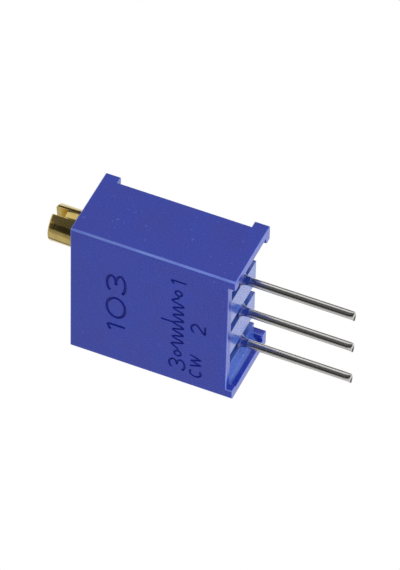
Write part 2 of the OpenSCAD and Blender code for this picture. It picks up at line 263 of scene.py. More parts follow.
def finish_group(name, *more):
    """A group for a finish: the sockets that every finish has, and more inputs of its own."""
    return new_group(
        name, "ShaderNodeTree",
        [
            ("Coordinates", "NodeSocketVector", None),
            ("Colour", "NodeSocketColor", (0.5, 0.5, 0.5, 1.0)),
            ("Shade", "NodeSocketColor", (0.3, 0.3, 0.3, 1.0)),
            ("Roughness", "NodeSocketFloat", 0.4),
            *more,
        ],
        [
            ("Colour", "NodeSocketColor"),
            ("Roughness", "NodeSocketFloat"),
            ("Height", "NodeSocketFloat"),
        ],
    )


def give(group, sockets, **values):
    """Joins a finish group's results to its output node."""
    for name, value in values.items():
        group.links.new(value, sockets.inputs[name])


def moulded_group():
    """Moulded plastic: soft clouds of colour, pale specks of dust, a fine eroded grain."""
    group, given, made = finish_group(
        "Moulded plastic",
        ("Grain", "NodeSocketFloat", 16.0),
        ("Dust", "NodeSocketFloat", 0.3),
    )
    place, grain_scale = given.outputs["Coordinates"], given.outputs["Grain"]
    cloud = noise(group, place, scale=0.45, detail=3.0)
    tint = between(
        group, stepped(group, cloud, 0.35, 0.68), given.outputs["Colour"], given.outputs["Shade"]
    )
    dust = stepped(group, noise(group, place, scale=5.0, detail=1.0), 0.735, 0.785)
    dust = math_node(group, "MULTIPLY", dust, given.outputs["Dust"])
    speck = (0.6, 0.65, 0.9, 1.0)
    pale = between(group, 0.35, tint, speck)
    grain = noise(group, place, grain_scale)
    flow = noise(group, place, scale=1.1, detail=1.0)
    rough = varied(group, given.outputs["Roughness"], grain, 0.16)
    height = math_node(group, "MULTIPLY_ADD", flow, 3.0, grain)
    give(group, made, Colour=between(group, dust, tint, pale), Roughness=rough, Height=height)
    return group


def drawn_group():
    """Drawn or turned metal: streaks along one way, tarnish in patches, small handling marks."""
    group, given, made = finish_group(
        "Worked metal",
        ("Streak", "NodeSocketVector", (14.0, 14.0, 0.25)),
        ("Tarnish", "NodeSocketFloat", 0.5),
    )
    place = given.outputs["Coordinates"]
    along = stretched(group, place, given.outputs["Streak"])
    streaks = noise(group, along, scale=1.0, detail=3.0, roughness=0.6)
    patches = noise(group, place, scale=2.2, detail=4.0, roughness=0.65)
    patches = stepped(group, patches, 0.42, 0.72)
    dull = math_node(group, "MULTIPLY", patches, given.outputs["Tarnish"])
    line = math_node(group, "MULTIPLY", stepped(group, streaks, 0.5, 0.8), 0.5)
    amount = math_node(group, "MAXIMUM", dull, line)
    rough = varied(group, given.outputs["Roughness"], streaks, 0.14)
    rough = math_node(group, "MULTIPLY_ADD", dull, 0.16, rough)
    give(
        group, made,
        Colour=between(group, amount, given.outputs["Colour"], given.outputs["Shade"]),
        Roughness=rough, Height=streaks,
    )
    return group


def fired_group():
    """Fired ceramic and printed film: close speckle, darker pores, a slightly uneven print."""
    group, given, made = finish_group("Fired surface", ("Speckle", "NodeSocketFloat", 22.0))
    place = given.outputs["Coordinates"]
    speckle = noise(group, place, given.outputs["Speckle"], detail=1.0)
    pores = stepped(group, noise(group, place, scale=9.0), 0.62, 0.70)
    amount = math_node(
        group, "MAXIMUM", math_node(group, "MULTIPLY", pores, 0.6),
        stepped(group, speckle, 0.45, 0.75),
    )
    give(
        group, made,
        Colour=between(group, amount, given.outputs["Colour"], given.outputs["Shade"]),
        Roughness=varied(group, given.outputs["Roughness"], speckle, 0.2),
        Height=math_node(group, "SUBTRACT", speckle, pores),
    )
    return group


GROUP_MAKERS = {
    "Moulded plastic": moulded_group,
    "Worked metal": drawn_group,
    "Fired surface": fired_group,
}


def finish(name, kind, base, shade, roughness, bump, metallic=0.0, ior=1.5, coat=0.0, **own):
    """A material with one of the shared finishes. bump is its depth in millimetres."""
    group = bpy.data.node_groups.get(kind) or GROUP_MAKERS[kind]()
    material = bpy.data.materials.new(name)
    tree = new_nodes(material)
    surface = add(
        tree, "ShaderNodeGroup",
        {
            "Coordinates": in_millimetres(tree),
            "Colour": (*base, 1.0),
            "Shade": (*shade, 1.0),
            "Roughness": roughness,
            **own,
        },
        node_tree=group,
    )
    relief = add(
        tree, "ShaderNodeBump",
        {"Strength": 1.0, "Distance": bump * MM, "Height": surface.outputs["Height"]},
    )
    shader = add(
        tree, "ShaderNodeBsdfPrincipled",
        {
            "Base Color": surface.outputs["Colour"],
            "Roughness": surface.outputs["Roughness"],
            "Normal": relief.outputs["Normal"],
            "Metallic": metallic,
            "IOR": ior,
            "Coat Weight": coat,
            "Coat Roughness": SKIN_ROUGHNESS,
        },
    )
    add(tree, "ShaderNodeOutputMaterial", {"Surface": shader.outputs[0]})
    return material


def tear(material, height, colour, roughness=0.55):
    """Gives the cut ends below a height, in millimetres, a torn half: darker and rougher."""
    tree = material.node_tree
    shader = next(node for node in tree.nodes if node.type == "BSDF_PRINCIPLED")
    place = in_millimetres(tree)
    axes = add(tree, "ShaderNodeSeparateXYZ", {0: place}).outputs
    # The line between the two halves wanders across the wire.
    ragged = math_node(tree, "MULTIPLY_ADD", noise(tree, place, scale=6.0), 0.24, -0.08)
    across = math_node(tree, "WRAP", axes["X"], PIN_PITCH / 2, -PIN_PITCH / 2)
    torn = math_node(tree, "LESS_THAN", across, ragged)
    torn = math_node(tree, "MULTIPLY", torn, math_node(tree, "LESS_THAN", axes["Z"], height))
    tint, rough = (shader.inputs[name] for name in ("Base Color", "Roughness"))
    mixed = between(tree, torn, tint.links[0].from_socket, (*colour, 1.0))
    tree.links.new(mixed, tint)
    mixed = stepped(tree, torn, 0.0, 1.0, rough.links[0].from_socket, roughness)
    tree.links.new(mixed, rough)


def dress(nodes, *look, **more):
    """Gives CAD nodes one new material."""
    material = finish(*look, **more)
    for node in nodes:
        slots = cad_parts[node].data.materials
        slots.clear()
        slots.append(material)


# ---- shapes, worked in millimetres ----


def welded_copy(node):
    """A CAD node's mesh in millimetres, its triangles welded and its flat faces made whole."""
    shape = bmesh.new()
    shape.from_mesh(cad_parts[node].data)
    shape.transform(Matrix.Scale(1 / MM, 4))
    bmesh.ops.remove_doubles(shape, verts=shape.verts, dist=WELD)
    bmesh.ops.dissolve_limit(
        shape, angle_limit=math.radians(0.3), verts=shape.verts, edges=shape.edges
    )
    return shape


def round_edges(shape, radius, wanted):
    """Rounds the outward corners for which wanted(middle of the edge) is true."""
    edges = [
        edge
        for edge in shape.edges
        if edge.is_manifold
        and edge.calc_face_angle_signed(0.0) > math.radians(40)
        and wanted((edge.verts[0].co + edge.verts[1].co) / 2)
    ]
    bmesh.ops.bevel(
        shape, geom=edges, offset=radius, offset_type="OFFSET", segments=3, profile=0.5,
        affect="EDGES", clamp_overlap=False,
    )


def new_object(name, data):
    """Links a new object that holds a mesh, a curve, a lamp or a camera."""
    piece = bpy.data.objects.new(name, data)
    bpy.context.scene.collection.objects.link(piece)
    return piece


def from_shape(name, shape, *materials):
    """A new object made from a shape, which is freed, with these materials."""
    mesh = bpy.data.meshes.new(name)
    shape.to_mesh(mesh)
    shape.free()
    for material in materials:
        mesh.materials.append(material)
    return new_object(name, mesh)


def settled(piece):
    """Applies an object's modifiers: it keeps only the plain mesh that they make."""
    bpy.context.view_layer.update()
    graph = bpy.context.evaluated_depsgraph_get()
    mesh = bpy.data.meshes.new_from_object(
        piece.evaluated_get(graph), preserve_all_data_layers=True, depsgraph=graph
    )
    piece.modifiers.clear()
    if piece.type == "MESH":
        piece.data = mesh
        return piece
    name = piece.name
    bpy.data.objects.remove(piece)
    return new_object(name, mesh)


def changed(piece, name, kind, **settings):
    """Changes a piece with a modifier that has these settings, and applies it."""
    modifier = piece.modifiers.new(name, kind)
    for key, value in settings.items():
        setattr(modifier, key, value)
    return settled(piece)


def cut_away(piece, cutter):
    """Cuts one object's shape out of another and removes the cutter."""
    changed(
        piece, "Cut", "BOOLEAN",
        operation="DIFFERENCE", object=cutter, solver="MANIFOLD", material_mode="TRANSFER",
    )
    bpy.data.objects.remove(cutter)


def into_place(piece, smooth_angle=35.0):
    """Takes a piece from millimetres to metres and shades it: flat faces flat, round ones round."""
    shape = bmesh.new()
    shape.from_mesh(piece.data)
    for edge in shape.edges:
        edge.smooth = edge.calc_face_angle(0.0) < math.radians(smooth_angle)
    for face in shape.faces:
        face.smooth = True
    shape.transform(Matrix.Scale(MM, 4))
    shape.to_mesh(piece.data)
    shape.free()
    return changed(piece, "Even shading", "WEIGHTED_NORMAL", keep_sharp=True)


def fit(piece, body, slot, *nodes):
    """Attaches a finished piece to its body and hides the nodes it stands for. slot is not used."""
    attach(piece, body)
    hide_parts(*nodes)


# ---- geometry node trees ----


def new_tree(name, start, sizes, end):
    """A geometry node tree from one named geometry to another, with these sizes as inputs."""
    return new_group(
        name, "GeometryNodeTree",
        [
            (start, "NodeSocketGeometry", None),
            *sizes,
            ("Material", "NodeSocketMaterial", None),
        ],
        [(end, "NodeSocketGeometry")],
    )


def swept(tree, path, profile):
    """A closed solid that follows a path and stays level across it."""
    level = add(tree, "GeometryNodeSetCurveNormal", {"Curve": path}, mode="Z_UP").outputs["Curve"]
    return add(
        tree, "GeometryNodeCurveToMesh",
        {"Curve": level, "Profile Curve": profile, "Fill Caps": True},
    ).outputs["Mesh"]


def ended(tree, geometry, given, made):
    """A geometry node tree whose result is made real, given its material and put out."""
    whole = add(tree, "GeometryNodeRealizeInstances", {"Geometry": geometry})
    done = add(
        tree, "GeometryNodeSetMaterial",
        {"Geometry": whole.outputs["Geometry"], "Material": given.outputs["Material"]},
    )
    tree.links.new(done.outputs["Geometry"], made.inputs[0])
    return tree


def stroke_tree():
    """A tapered channel that follows each path."""
    sizes = [("Width", "NodeSocketFloat", 0.15), ("Depth", "NodeSocketFloat", 0.07)]
    tree, given, made = new_tree("Sunk stroke", "Path", sizes, "Strokes")
    width, depth = given.outputs["Width"], given.outputs["Depth"]
    channel = add(
        tree, "GeometryNodeCurvePrimitiveQuadrilateral",
        {
            "Bottom Width": math_node(tree, "MULTIPLY", width, 1.35),
            "Top Width": math_node(tree, "MULTIPLY", width, 0.55),
            "Offset": 0.0,
            "Height": math_node(tree, "MULTIPLY", depth, 2.0),
        },
        mode="TRAPEZOID",
    )
    solid = swept(tree, given.outputs["Path"], channel.outputs["Curve"])
    return ended(tree, solid, given, made)


def thread_tree():
    """A screw thread: a ridge that climbs one pitch a turn round a core."""
    sizes = [
        ("Crest Radius", "NodeSocketFloat", 0.5),
        ("Pitch", "NodeSocketFloat", 0.2),
        ("Length", "NodeSocketFloat", 6.0),
        ("Foot", "NodeSocketVector", (0.0, 0.0, 0.0)),
    ]
    tree, given, made = new_tree("Screw thread", "Core", sizes, "Screw")
    pitch = given.outputs["Pitch"]
    ridge = math_node(tree, "MULTIPLY", pitch, RIDGE)
    middle = math_node(tree, "SUBTRACT", given.outputs["Crest Radius"], ridge)
    climb = add(
        tree, "GeometryNodeCurveSpiral",
        {
            "Resolution": 24,
            "Rotations": math_node(tree, "DIVIDE", given.outputs["Length"], pitch),
            "Start Radius": middle,
            "End Radius": middle,
            "Height": given.outputs["Length"],
        },
    )
    section = add(
        tree, "GeometryNodeCurvePrimitiveCircle", {"Resolution": 4, "Radius": ridge}, mode="RADIUS"
    )
    raised = add(
        tree, "GeometryNodeTransform",
        {
            "Geometry": swept(tree, climb.outputs["Curve"], section.outputs["Curve"]),
            "Translation": given.outputs["Foot"],
        },
    )
    both = add(tree, "GeometryNodeJoinGeometry")
    for part in (given.outputs["Core"], raised.outputs["Geometry"]):
        tree.links.new(part, both.inputs[0])
    return ended(tree, both.outputs["Geometry"], given, made)


def grow(piece, tree, **values):
    """Runs a geometry node tree on an object, with its inputs given by name."""
    change = piece.modifiers.new(tree.name, "NODES")
    change.node_group = tree
    for item in tree.interface.items_tree:
        if item.in_out == "INPUT" and item.name in values:
            change[item.identifier] = values[item.name]
    return settled(piece)


# ---- case ----


def bow(x, y, rx, ry, start, end, steps=10):
    """Points along part of an ellipse, from one angle in degrees to another."""
    return [
        (
            x + rx * math.cos(math.radians(start + (end - start) * i / steps)),
            y + ry * math.sin(math.radians(start + (end - start) * i / steps)),
        )
        for i in range(steps + 1)
    ]


def eased(points, radius, steps=4):
    """A line with each of its corners rounded."""
    line = [points[0]]
    for before, corner, after in zip(points, points[1:], points[2:]):
        ways = [Vector(end) - Vector(corner) for end in (before, after)]
        half = ways[0].angle(ways[1]) / 2
        reach = min(radius / math.tan(half), 0.49 * ways[0].length, 0.49 * ways[1].length)
        start, end = (Vector(corner) + way.normalized() * reach for way in ways)
        for i in range(steps + 1):
            t = i / steps
            point = start * (1 - t) ** 2 + Vector(corner) * 2 * t * (1 - t) + end * t * t
            line.append(tuple(point))
    return [*line, points[-1]]


# Each sign is drawn in a cell one unit high: its width, and its lines. Lines that meet take
# turns in the list, because its even and odd lines are cut one set after the other.
SIGNS = {
    "0": (1.30, [bow(0.65, 0.5, 0.58, 0.5, 0, 360, 24)]),
    "1": (0.55, [eased([(0.06, 0.80), (0.38, 1.0), (0.38, 0.0)], 0.10)]),
    "2": (1.15, [
        bow(0.55, 0.70, 0.50, 0.30, 165, -25)[:-1]
        + eased([(0.98, 0.54), (0.04, 0.0), (1.12, 0.0)], 0.08),
    ]),
    "3": (1.15, [
        bow(0.52, 0.75, 0.46, 0.25, 160, -90, 12),
        bow(0.52, 0.26, 0.54, 0.26, 95, -160, 12),
    ]),
    "C": (1.00, [bow(0.55, 0.5, 0.48, 0.5, 48, 312, 16)]),
    "W": (1.60, [
        [(0.04, 1.0), (0.44, 0.0)],
        [(0.40, 0.0), (0.82, 0.95)],
        [(0.78, 0.95), (1.20, 0.0)],
        [(1.16, 0.0), (1.56, 1.0)],
    ]),
}


def written(text, x, z, height, stretch=1.0, gap=0.30):
    """A text centred on x with its foot at z, in millimetres: its even lines and its odd ones."""
    widths = [SIGNS[sign][0] * height * stretch for sign in text]
    left = x - (sum(widths) + gap * height * (len(text) - 1)) / 2
    sets = [], []
    for sign, width in zip(text, widths):
        for n, line in enumerate(SIGNS[sign][1]):
            sets[n % 2].append([(left + px * height * stretch, z + pz * height) for px, pz in line])
        left += width + gap * height
    return sets


def circuit_sign():
    """The wiring sign: a resistor between two open terminals, with its tap in the middle."""
    z, swing, step, count = 3.40, 0.48, 0.29, 13
    terminal, ring, lead, bend = 2.44, 0.20, 2.26, 2.05
    rings = [bow(side * terminal, z, ring, ring, 0, 360, 16) for side in (-1, 1)]
    tap = [(0.0, z + 0.22), (0.0, z + 1.05)]
    turns = [
        ((i - (count - 1) / 2) * step, z + swing * (-1 if i % 2 else 1)) for i in range(count)
    ]
    zigzag = [(-lead, z), (-bend, z), *turns, (bend, z), (lead, z)]
    return [*rings, tap], [eased(zigzag, 0.10)]


def small_signs():
    """The wiring sign with the pins' numbers and the way of turning, in two sets of lines."""
    signs = (
        circuit_sign(),
        written("3", x=-3.30, z=2.95, height=0.95, stretch=0.80),
        written("1", x=3.30, z=2.95, height=0.95, stretch=0.80),
        written("2", x=0.05, z=1.75, height=0.85, stretch=0.80),
        written("CW", x=-3.05, z=1.95, height=0.68, stretch=0.86, gap=0.32),
    )
    return [[line for sign in signs for line in sign[n]] for n in (0, 1)]


def in_squares(shape, y, side):
    """Divides the flat face at y into squares, so that each mark is cut from a small face."""
    for axis in (Vector((1, 0, 0)), Vector((0, 0, 1))):
        for n in range(-12, 13):
            faces = [f for f in shape.faces if all(abs(v.co.y - y) < 1e-4 for v in f.verts)]
            edges = {edge for face in faces for edge in face.edges}
            verts = {vert for face in faces for vert in face.verts}
            bmesh.ops.bisect_plane(
                shape, geom=[*faces, *edges, *verts],
                plane_co=axis * (n + 0.5) * side, plane_no=axis,
            )


def path_object(name, lines):
    """A curve object with one straight-pointed path for each line."""
    data = bpy.data.curves.new(name, "CURVE")
    data.dimensions = "3D"
    for line in lines:
        closed = math.dist(line[0], line[-1]) < 1e-6
        points = line[:-1] if closed else line
        path = data.splines.new("POLY")
        path.points.add(len(points) - 1)
        for point, (x, y) in zip(path.points, points):
            point.co = (x, y, 0.0, 1.0)
        path.use_cyclic_u = closed
    return new_object(name, data)


class TRIMMER_OT_case(bpy.types.Operator):
    """Make the moulded case, with rounded edges and sunk marks"""

    bl_idname = "trimmer.case"
    bl_label = "Case"

    def execute(self, context):
        given = context.scene.trimmer_case
        plastic = finish(
            "Housing plastic", "Moulded plastic", given.case_colour, given.case_shade,
            roughness=0.27, bump=0.0009, ior=1.36, coat=0.3, Dust=0.6,
        )
        # Painted highlight: the rounded outer edges get a paler plastic, which stands in for the
        # light that they catch.
        highlit = finish(
            "Housing edge highlight", "Moulded plastic", given.edge_highlight_colour, given.edge_highlight_shade,
            roughness=0.36, bump=0.0012,
        )
        # Painted shade: the sunk strokes get a darker plastic, which stands in for the shade inside
        # them.
        sunk = finish(
            "Housing marks painted shade", "Moulded plastic", given.mark_shade_colour, given.mark_shade_colour,
            roughness=0.55, bump=0.0020, ior=1.36,
        )
        shape = welded_copy("housing")
        # The edges inside the hollow stay sharp, apart from those of its mouth.
        side, front = CASE_HIGH.x / MM - 0.56, CASE_LOW.y / MM + 0.52
        back, roof, mouth = 1.96, CASE_HIGH.z / MM - 0.1, 1.44

        def outside(p):
            in_hollow = abs(p.x) < side and front < p.y < back and p.z < roof
            return not in_hollow or p.z < mouth

        round_edges(shape, given.edge_radius / MM, outside)
        shape.normal_update()
        # The slanting faces of the outer edges take the second material, the painted edge
        # highlight.
        for face in shape.faces:
            slanting = max(abs(c) for c in face.normal) < 0.98
            face.material_index = int(slanting and outside(face.calc_center_median()))
        in_squares(shape, CASE_LOW.y / MM, side=0.8)
        case = from_shape("case_shell", shape, plastic, highlit)
        tree = stroke_tree()
        to_face = Matrix.Translation((0.0, CASE_LOW.y / MM, 0.0)) @ Matrix.Rotation(
            math.radians(90), 4, "X"
        )
        value = written(
            given.mark_text, x=0.0, z=6.65, height=given.mark_height / MM, stretch=1.20
        )
        for marks, width in ((value, given.mark_width), (small_signs(), given.sign_width)):
            for lines in marks:
                strokes = grow(
                    path_object("case_marks", lines), tree,
                    Width=width / MM, Depth=given.mark_depth / MM, Material=sunk,
                )
                strokes.data.transform(to_face)
                cut_away(case, strokes)
        into_place(case)
        fit(case, "case", "case_blue", "housing")
        return {"FINISHED"}


def flare_collars(shape):
    """Draws each collar out: a thin skirt on the base's underside, a feather edge on the wire."""
    nearest, farthest, top = PIN_RADIUS + 0.005, 0.33, 0.65
    # For each ring of points from the lowest up: how far it stands off the wire, and its height.
    skirt = ((0.004, 0.00), (0.008, 0.10), (0.016, 0.19), (0.032, 0.27), (0.060, 0.34),
             (0.105, 0.40), (0.180, 0.457), (0.100, 0.4605))
    for x in PIN_PLACES.values():
        rings = {}
        for vert in shape.verts:
            if nearest < math.hypot(vert.co.x - x, vert.co.y) < farthest and vert.co.z < top:
                rings.setdefault(round(vert.co.z, 3), []).append(vert)
        low = min(rings)
        for height, (off, rise) in zip(sorted(rings), skirt):
            for vert in rings[height]:
                outward = Vector((vert.co.x - x, vert.co.y)).normalized() * (PIN_RADIUS + off)
                vert.co = (x + outward.x, outward.y, low + rise)


class TRIMMER_OT_base(bpy.types.Operator):
    """Make the pin base with rounded edges, and finish the resin round the pins"""

    bl_idname = "trimmer.base"
    bl_label = "Pin base"

    def execute(self, context):
        given = context.scene.trimmer_case
        # Painted light: the base plastic is made paler, for the light on the base's downward faces.
        plastic = finish(
            "Base plastic with painted light", "Moulded plastic", given.base_colour_with_painted_light, given.base_shade_with_painted_light,
            roughness=0.27, bump=0.0009, ior=1.36, coat=0.6, Dust=0.5,
        )
        shape = welded_copy("pin_base")
        hole, upper, middle = 0.36, 1.2, 0.05

        def seen(p):
            at_pin = any(math.hypot(p.x - x, p.y) < hole for x in PIN_PLACES.values())
            return p.z < upper and abs(p.y) > middle and not at_pin

        round_edges(shape, given.base_edge_radius / MM, seen)
        base = into_place(from_shape("base_block", shape, plastic))
        fit(base, "case", "base_blue", "pin_base")
        resin = finish(
            "Potting resin", "Moulded plastic", given.potting_colour, given.potting_shade,
            roughness=0.14, bump=0.0006, coat=0.8, Grain=6.0, Dust=0.2,
        )
        shape = welded_copy("sealant")
        flare_collars(shape)
        # The beads along the end walls take the base's paler plastic: a painted highlight for the
        # light on their glossy fillets.
        beads_from = 3.5
        for face in shape.faces:
            face.material_index = int(abs(face.calc_center_median().x) > beads_from)
        fill = into_place(from_shape("resin_fill", shape, resin, plastic))
        fit(fill, "case", "epoxy_blue", "sealant")
        return {"FINISHED"}


# ---- screw ----


def turned(name, profile, steps=96):
    """A closed body turned about Z from points (radius, height) that start and end on it."""
    shape = bmesh.new()
    verts = [shape.verts.new((r, 0.0, z)) for r, z in profile]
    edges = [shape.edges.new(pair) for pair in zip(verts, verts[1:])]
    bmesh.ops.spin(
        shape, geom=verts + edges, cent=(0, 0, 0), axis=(0, 0, 1), dvec=(0, 0, 0),
        angle=math.tau, steps=steps, use_duplicate=False,
    )
    bmesh.ops.remove_doubles(shape, verts=shape.verts, dist=WELD)
    bmesh.ops.recalc_face_normals(shape, faces=shape.faces)
    return from_shape(name, shape)


def groove(shaft, bottom, low, high):
    """Points of a square groove in a shaft: their radius and height, upwards."""
    return [(shaft, low), (bottom, low), (bottom, high), (shaft, high)]


def block(name, low, high, turn):
    """A box between two corners, turned about Z."""
    shape = bmesh.new()
    bmesh.ops.create_cube(shape, size=1.0)
    middle = (Vector(low) + Vector(high)) / 2
    size = Vector(high) - Vector(low)
    shape.transform(
        Matrix.Rotation(turn, 4, "Z") @ Matrix.Translation(middle) @ Matrix.Diagonal((*size, 1.0))
    )
    return from_shape(name, shape)


class TRIMMER_OT_screw(bpy.types.Operator):
    """Make the turned adjusting screw, with its driver slot and its fine thread"""

    bl_idname = "trimmer.screw"
    bl_label = "Adjusting screw"

    def execute(self, context):
        given = context.scene.trimmer_screw
        brass = finish(
            "Screw brass", "Worked metal", given.brass, given.tarnish,
            roughness=0.15, bump=0.0005, metallic=1.0, Streak=(0.4, 0.4, 12.0), Tarnish=0.40,
        )
        centre = (SCREW_LOW + SCREW_HIGH) / 2 / MM
        foot, top = SCREW_LOW.z / MM, SCREW_HIGH.z / MM
        under, collar = CASE_HIGH.z / MM + 0.03, 8.40
        crest = given.thread_diameter / MM / 2
        pitch = given.thread_pitch / MM
        core = crest - RIDGE * pitch
        thread_from, thread_to = foot + 0.75, collar - 1.5 * pitch
        head, neck, relief, tail = (SCREW_HIGH.x - SCREW_LOW.x) / 2 / MM, 0.60, 0.368, 0.33
        profile = [
            (0.0, foot), (tail - 0.04, foot), (tail, foot + 0.04), (tail, foot + 0.70),
            (core, foot + 0.72), (core, thread_to), (relief, thread_to + 0.03), (relief, collar),
            (neck, collar), *groove(neck, 0.42, 8.54, 8.72), *groove(neck, 0.36, 9.09, 9.37),
            (neck, under), (head - 0.04, under), (head, under + 0.04),
            (head, top - 0.08), (head - 0.023, top - 0.030), (head - 0.08, top), (0.0, top),
        ]
        screw = turned("adjusting_screw", profile)
        # What cuts the slot stands well past the head.
        half = given.slot_width / MM / 2
        low, high = (-2.0, -half, top - given.slot_depth / MM), (2.0, half, top + 1.0)
        cut_away(screw, block("driver_slot", low, high, given.slot_turn))
        changed(
            screw, "Broken edges", "BEVEL",
            width=given.edge_radius / MM, segments=2, limit_method="ANGLE",
            angle_limit=math.radians(50), use_clamp_overlap=False,
        )
        grow(
            screw, thread_tree(),
            **{
                "Crest Radius": crest, "Pitch": pitch, "Length": thread_to - thread_from,
                "Foot": (0.0, 0.0, thread_from), "Material": brass,
            },
        )
        screw.data.transform(Matrix.Translation((centre.x, centre.y, 0.0)))
        into_place(screw, smooth_angle=40.0)
        fit(screw, "screw", "screw_brass", "lead_screw")
        return {"FINISHED"}


# ---- pins and inner pieces ----


def spread_end(shape, middle, reach, lip, burr):
    """Pinches a pin's cut end, which spreads to a lip on one side and a burr on the torn one."""
    low, rings = PIN_LOW.z / MM, 7
    for ring in range(1, rings + 1):
        bmesh.ops.bisect_plane(
            shape, geom=[*shape.verts, *shape.edges, *shape.faces],
            plane_co=(0.0, 0.0, low + reach * ring / rings), plane_no=(0.0, 0.0, 1.0),
        )
    for vertex in shape.verts:
        near = max(0.0, 1.0 - (vertex.co.z - low) / reach)
        side = (vertex.co.x - middle) / PIN_RADIUS
        vertex.co.x += side * (lip * near ** 2 + (burr * near ** 5 if side < 0.0 else 0.0))
        vertex.co.y -= vertex.co.y * PINCH * near ** 2


class TRIMMER_OT_pins(bpy.types.Operator):
    """Finish the tinned wire pins and their solder"""

    bl_idname = "trimmer.pins"
    bl_label = "Pins"

    def execute(self, context):
        given = context.scene.trimmer_pins
        tin = finish(
            "Tinned wire", "Worked metal", given.tin, given.dull_tin,
            roughness=0.20, bump=0.0005, metallic=1.0, Streak=(18.0, 18.0, 0.35), Tarnish=0.35,
        )
        # Height of the cut faces, on which one half is torn.
        cut = 0.012
        tear(tin, PIN_LOW.z / MM + cut, given.torn)
        for pin, middle in PIN_PLACES.items():
            shape = welded_copy(pin)
            spread_end(
                shape, middle, given.end_reach / MM, given.end_lip / MM, given.end_burr / MM
            )
            wire = into_place(from_shape(pin.replace("pin", "wire"), shape, tin))
            fit(wire, "case", "tinned_wire", pin)
        dress(
            ["solder_1", "solder_2", "solder_3"],
            "Solder", "Worked metal", given.solder, given.dull_tin,
            roughness=0.30, bump=0.0010, metallic=1.0, Streak=(3.0, 3.0, 3.0), Tarnish=0.5,
        )
        return {"FINISHED"}


class TRIMMER_OT_element(bpy.types.Operator):
    """Finish the ceramic plate with its printed tracks and pads"""

    bl_idname = "trimmer.element"
    bl_label = "Element"

    def execute(self, context):
        given = context.scene.trimmer_inside
        dress(
            ["element_substrate"],
            "Alumina", "Fired surface", given.ceramic, shade=(0.60, 0.59, 0.55),
            roughness=0.55, bump=0.0010,
        )
        dress(
            ["resistive_track"],
            "Resistor film", "Fired surface", given.film, shade=(0.09, 0.09, 0.085),
            roughness=0.45, bump=0.0015, Speckle=30.0,
        )
        dress(
            ["collector_track", "termination_1", "termination_2", "termination_3"],
            "Conductor film", "Fired surface", given.conductor, shade=(0.40, 0.37, 0.30),
            roughness=0.42, bump=0.0012, metallic=0.9,
        )
        return {"FINISHED"}


class TRIMMER_OT_wiper(bpy.types.Operator):
    """Finish the carriage and its wiper, the O-ring and the retaining clip"""

    bl_idname = "trimmer.wiper"
    bl_label = "Wiper and seal"

    def execute(self, context):
        given = context.scene.trimmer_inside
        dress(
            ["carriage"],
            "Carriage plastic", "Moulded plastic", given.carriage, shade=(0.52, 0.48, 0.38),
            roughness=0.45, bump=0.0015,
        )
        dress(
            ["wiper_contact"],
            "Spring alloy", "Worked metal", given.spring, shade=(0.42, 0.38, 0.32),
            roughness=0.25, bump=0.0004, metallic=1.0, Streak=(1.0, 12.0, 12.0), Tarnish=0.3,
        )
        dress(
            ["o_ring"],
            "Ring rubber", "Moulded plastic", given.rubber, shade=(0.030, 0.030, 0.032),
            roughness=0.60, bump=0.0015, Dust=0.6,
        )
        dress(
            ["retaining_clip"],
            "Clip steel", "Worked metal", given.steel, shade=(0.34, 0.34, 0.34),
            roughness=0.28, bump=0.0005, metallic=1.0, Streak=(1.0, 12.0, 1.0), Tarnish=0.3,
        )
        return {"FINISHED"}


# ---- stage ----


def plane_mesh(name, side):
    """A flat square about the origin, facing up."""
    mesh = bpy.data.meshes.new(name)
    half = side / 2
    mesh.from_pydata(
        [(-half, -half, 0), (half, -half, 0), (half, half, 0), (-half, half, 0)], [], [(0, 1, 2, 3)]
    )
    return mesh


def facing(direction, distance, centre):
    """The place of something that looks at a centre from a direction."""
    away = Vector(direction).normalized()
    return Matrix.Translation(Vector(centre) + away * distance) @ away.to_track_quat(
        "Z", "Y"
    ).to_matrix().to_4x4()


def hide(piece, *rays):
    """Hides a piece from these kinds of ray."""
    for ray in rays:
        setattr(piece, "visible_" + ray, False)


def floor_material(base):
    """A matt floor that is clear from below, so that it never hides the part."""
    material = bpy.data.materials.new("Pale floor")
    tree = new_nodes(material)
    place = add(tree, "ShaderNodeTexCoord").outputs["Object"]
    cloud = stepped(tree, noise(tree, place, scale=30.0), 0.3, 0.7)
    shade = [part * 0.985 for part in base]
    tone = between(tree, cloud, (*base, 1.0), (*shade, 1.0))
    matt = add(tree, "ShaderNodeBsdfDiffuse", {"Color": tone})
    clear = add(tree, "ShaderNodeBsdfTransparent")
    side = add(tree, "ShaderNodeNewGeometry").outputs["Backfacing"]
    mixed = add(tree, "ShaderNodeMixShader", {0: side, 1: matt.outputs[0], 2: clear.outputs[0]})
    add(tree, "ShaderNodeOutputMaterial", {"Surface": mixed.outputs[0]})
    return material


def plain_world(fill):
    """White to the eye and in reflections, and a plain level of light on everything else."""
    world = bpy.data.worlds.new("Studio")
    bpy.context.scene.world = world
    tree = new_nodes(world)
    rays = add(tree, "ShaderNodeLightPath").outputs
    seen = math_node(tree, "MAXIMUM", rays["Is Camera Ray"], rays["Is Glossy Ray"])
    seen = math_node(tree, "MAXIMUM", seen, rays["Is Transmission Ray"])
    light = add(tree, "ShaderNodeBackground", {"Color": (1, 1, 1, 1), "Strength": fill})
    white = add(tree, "ShaderNodeBackground", {"Color": (1, 1, 1, 1), "Strength": 1.0})
    mixed = add(tree, "ShaderNodeMixShader", {0: seen, 1: light.outputs[0], 2: white.outputs[0]})
    add(tree, "ShaderNodeOutputWorld", {"Surface": mixed.outputs[0]})


def soft_lamp(name, direction, distance, size, watts, centre):
    """A square lamp that shines on a centre from a direction."""
    data = bpy.data.lights.new(name, "AREA")
    data.shape = "SQUARE"
    data.size = size
    data.energy = watts
    lamp = new_object(name, data)
    lamp.matrix_world = facing(direction, distance, centre)
    hide(lamp, "camera", "glossy")


